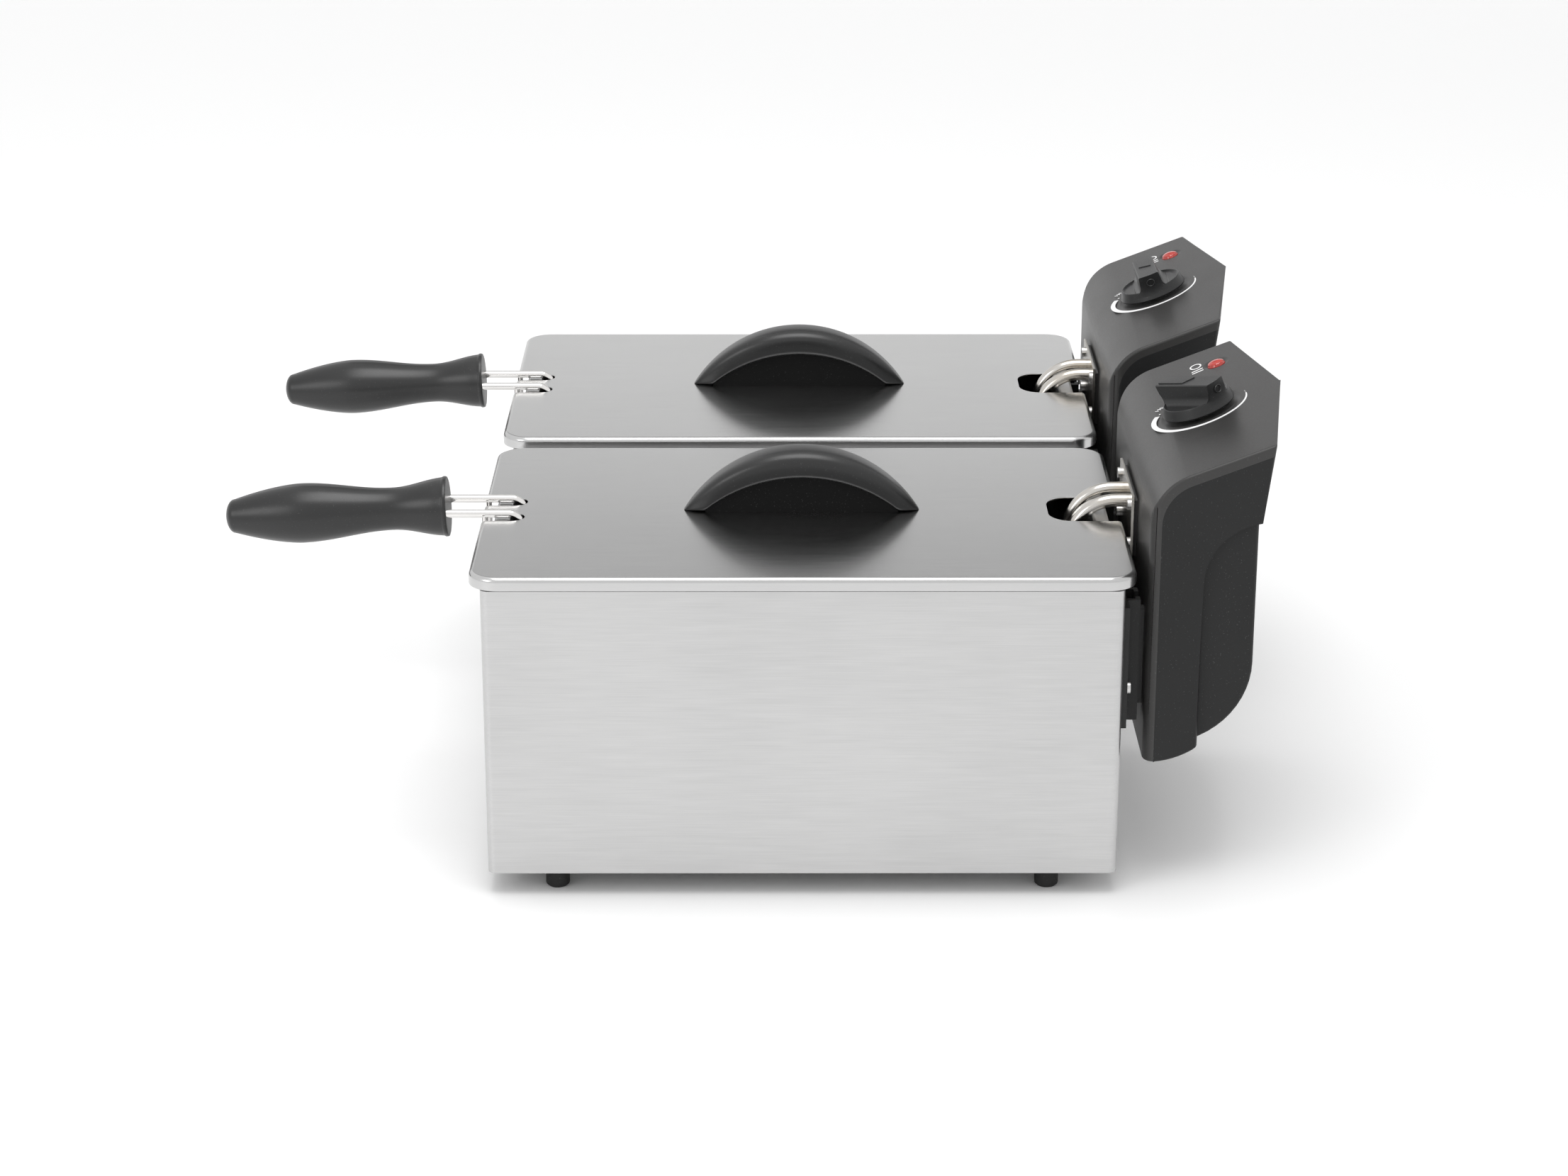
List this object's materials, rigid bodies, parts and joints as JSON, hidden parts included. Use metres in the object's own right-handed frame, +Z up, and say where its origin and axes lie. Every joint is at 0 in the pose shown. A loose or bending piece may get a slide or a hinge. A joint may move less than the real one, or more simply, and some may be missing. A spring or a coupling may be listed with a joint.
{
  "type": "deep fryer",
  "caption": "Double electric deep fryer: brushed steel housing, two oil tanks with lids, wire baskets on long handles and lift-out control units with heating elements.",
  "frame": {"origin": "on the surface the fryer stands on, under the centre of its housing", "axes": "+Z up; -Y towards the user, where the basket handles point; X across the two tanks"},
  "size_m": [0.4214, 0.513, 0.2321],
  "materials": {
    "housing_steel": "fine brushed grain along the panel",
    "lid_steel": "fine brushed grain along the lid, soft reflections",
    "tank_steel": "satin drawn stainless steel",
    "base_steel": "plain zinc coated sheet",
    "chrome_wire": "bright plated wire",
    "basket_wire": "bright plated mesh",
    "element_tube": "bright annealed sheath",
    "plated_steel": "nickel plated",
    "screw_steel": "zinc plated",
    "handle_plastic": "matte phenolic, fine grain",
    "front_plastic": "satin moulded plastic with a fine texture",
    "case_plastic": "matte moulded plastic",
    "knob_plastic": "matte moulded plastic",
    "button_plastic": "smooth",
    "terminal_plastic": "moulded nylon",
    "ceramic_body": "unglazed",
    "foot_rubber": "moulded, matte",
    "gland_rubber": "moulded, matte",
    "red_lens": "translucent red"
  },
  "bodies": {
    "housing": {"outer_shell": "housing_steel", "top_deck": "housing_steel", "base_plate": "base_steel", "feet": "foot_rubber", "foot_screws": "screw_steel", "guide_rails": "case_plastic", "guide_screws": "screw_steel"},
    "oil_tank_right": {"oil_tank_right": "tank_steel"},
    "control_unit_right": {"heating_element_right": "element_tube", "element_clamps_right": "plated_steel", "element_plate_right": "plated_steel", "plate_screws_right": "screw_steel", "sensor_bulbs_right": "element_tube", "front_shell_right": "front_plastic", "rear_shell_right": "case_plastic", "case_screws_right": "screw_steel", "thermostat_right": "ceramic_body", "thermal_cutout_right": "ceramic_body", "terminal_block_right": "terminal_plastic", "microswitch_right": "case_plastic", "pilot_lens_right": "red_lens", "cable_gland_right": "gland_rubber"},
    "basket_right": {"basket_right": "basket_wire", "basket_frame_right": "chrome_wire", "handle_wires_right": "chrome_wire", "handle_grip_right": "handle_plastic"},
    "lid_right": {"lid_right": "lid_steel", "lid_handle_right": "handle_plastic", "lid_screws_right": "screw_steel"},
    "knob_right": {"knob_right": "knob_plastic", "spindle_right": "plated_steel"},
    "reset_button_right": {"reset_button_right": "button_plastic"},
    "oil_tank_left": {"oil_tank_left": "tank_steel"},
    "control_unit_left": {"heating_element_left": "element_tube", "element_clamps_left": "plated_steel", "element_plate_left": "plated_steel", "plate_screws_left": "screw_steel", "sensor_bulbs_left": "element_tube", "front_shell_left": "front_plastic", "rear_shell_left": "case_plastic", "case_screws_left": "screw_steel", "thermostat_left": "ceramic_body", "thermal_cutout_left": "ceramic_body", "terminal_block_left": "terminal_plastic", "microswitch_left": "case_plastic", "pilot_lens_left": "red_lens", "cable_gland_left": "gland_rubber"},
    "basket_left": {"basket_left": "basket_wire", "basket_frame_left": "chrome_wire", "handle_wires_left": "chrome_wire", "handle_grip_left": "handle_plastic"},
    "lid_left": {"lid_left": "lid_steel", "lid_handle_left": "handle_plastic", "lid_screws_left": "screw_steel"},
    "knob_left": {"knob_left": "knob_plastic", "spindle_left": "plated_steel"},
    "reset_button_left": {"reset_button_left": "button_plastic"}
  },
  "joints": [
    {"name": "tank_lift_right", "type": "slide", "parent": "housing", "child": "oil_tank_right", "axis": [0, 0, 1], "range_m": [0, 0.18]},
    {"name": "control_lift_right", "type": "slide", "parent": "oil_tank_right", "child": "control_unit_right", "axis": [0, 0, 1], "range_m": [0, 0.18]},
    {"name": "basket_lift_right", "type": "slide", "parent": "control_unit_right", "child": "basket_right", "axis": [0, 0, 1], "range_m": [0, 0.12]},
    {"name": "lid_lift_right", "type": "slide", "parent": "basket_right", "child": "lid_right", "axis": [0, 0, 1], "range_m": [0, 0.08]},
    {"name": "knob_turn_right", "type": "hinge", "parent": "control_unit_right", "child": "knob_right", "pos_m": [0.1092, 0.1929, 0.21232], "axis": [0, -0.3584, 0.9336], "range_deg": [0, 315]},
    {"name": "reset_press_right", "type": "slide", "parent": "control_unit_right", "child": "reset_button_right", "axis": [0.1392, -0.9903, 0], "range_m": [0, 0.002], "stiffness_N_per_m": 400},
    {"name": "tank_lift_left", "type": "slide", "parent": "housing", "child": "oil_tank_left", "axis": [0, 0, 1], "range_m": [0, 0.18]},
    {"name": "control_lift_left", "type": "slide", "parent": "oil_tank_left", "child": "control_unit_left", "axis": [0, 0, 1], "range_m": [0, 0.18]},
    {"name": "basket_lift_left", "type": "slide", "parent": "control_unit_left", "child": "basket_left", "axis": [0, 0, 1], "range_m": [0, 0.12]},
    {"name": "lid_lift_left", "type": "slide", "parent": "basket_left", "child": "lid_left", "axis": [0, 0, 1], "range_m": [0, 0.08]},
    {"name": "knob_turn_left", "type": "hinge", "parent": "control_unit_left", "child": "knob_left", "pos_m": [-0.1092, 0.1929, 0.21232], "axis": [0, -0.3584, 0.9336], "range_deg": [-315, 0]},
    {"name": "reset_press_left", "type": "slide", "parent": "control_unit_left", "child": "reset_button_left", "axis": [0.1392, -0.9903, 0], "range_m": [0, 0.002], "stiffness_N_per_m": 400}
  ]
}
